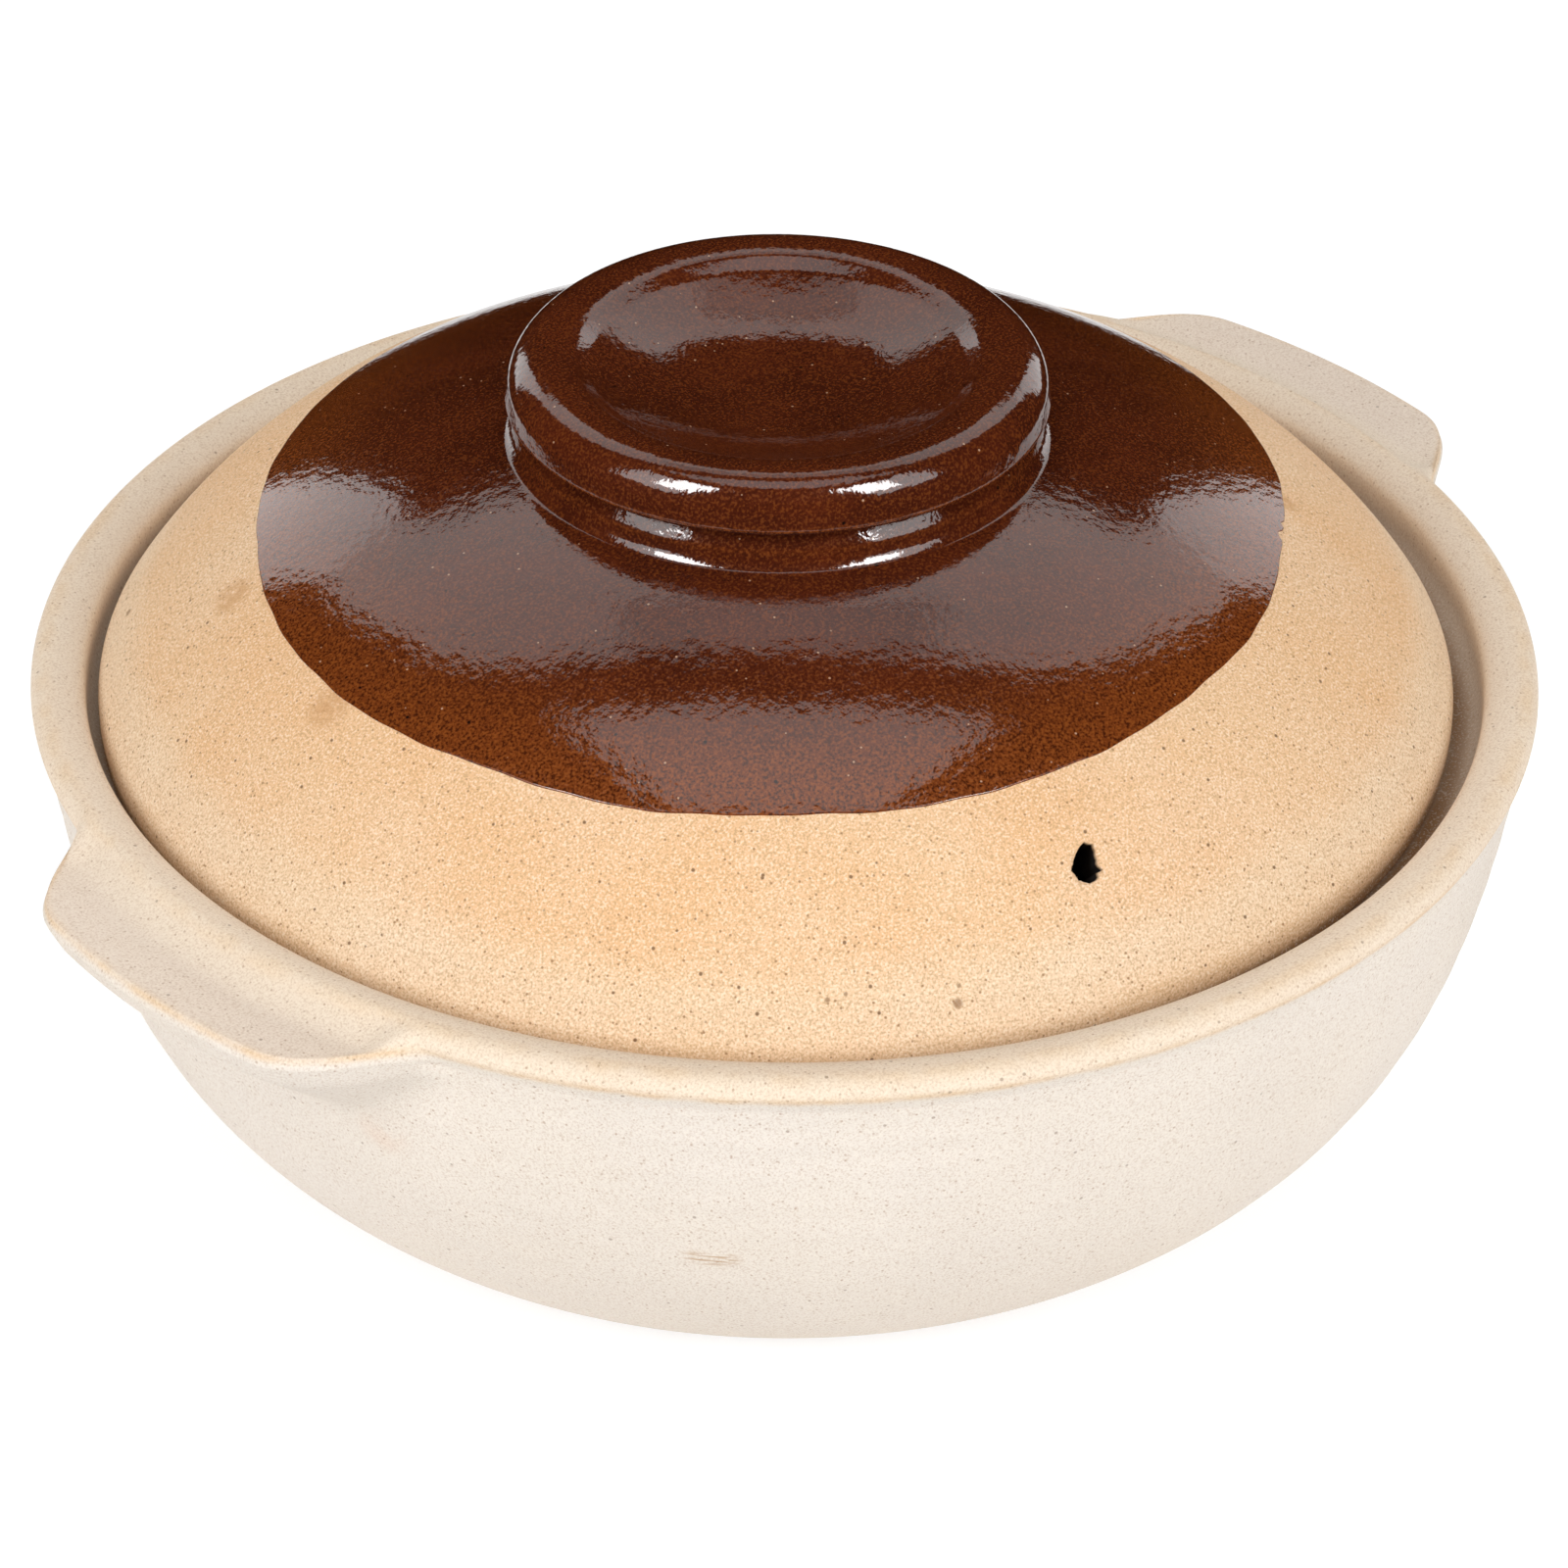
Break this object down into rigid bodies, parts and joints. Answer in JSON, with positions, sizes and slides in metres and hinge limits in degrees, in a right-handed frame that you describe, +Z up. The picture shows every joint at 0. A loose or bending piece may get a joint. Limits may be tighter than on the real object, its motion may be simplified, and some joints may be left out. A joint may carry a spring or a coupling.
{
  "type": "clay cooking pot with lid",
  "caption": "Wide round clay cooking pot with lugs and a loose domed lid; the lid lies in a gallery inside the rim, has a steam vent, and lifts off by its dished, brown-glazed knob.",
  "frame": {"origin": "centre of the base, on the surface that the pot stands on", "axes": "+Z up along the pot's axis, +X through the middle of both lugs"},
  "size_m": [0.2452, 0.22, 0.116],
  "materials": {
    "pot_clay": "bare sandy earthenware, matt, pale cream",
    "lid_clay": "bare sandy earthenware, matt, warm apricot",
    "brown_glaze": "glossy dark reddish brown glaze with fine speckles"
  },
  "bodies": {
    "pot": {"pot_bowl": "pot_clay", "lug_handle_left": "pot_clay", "lug_handle_right": "pot_clay", "pot_inner_glaze": "brown_glaze"},
    "lid": {"lid_dome": "lid_clay", "lid_knob": "lid_clay", "lid_top_glaze": "brown_glaze"}
  },
  "joints": [
    {"name": "lid_lift", "type": "slide", "parent": "pot", "child": "lid", "axis": [0, 0, 1], "range_m": [0, 0.15]}
  ]
}
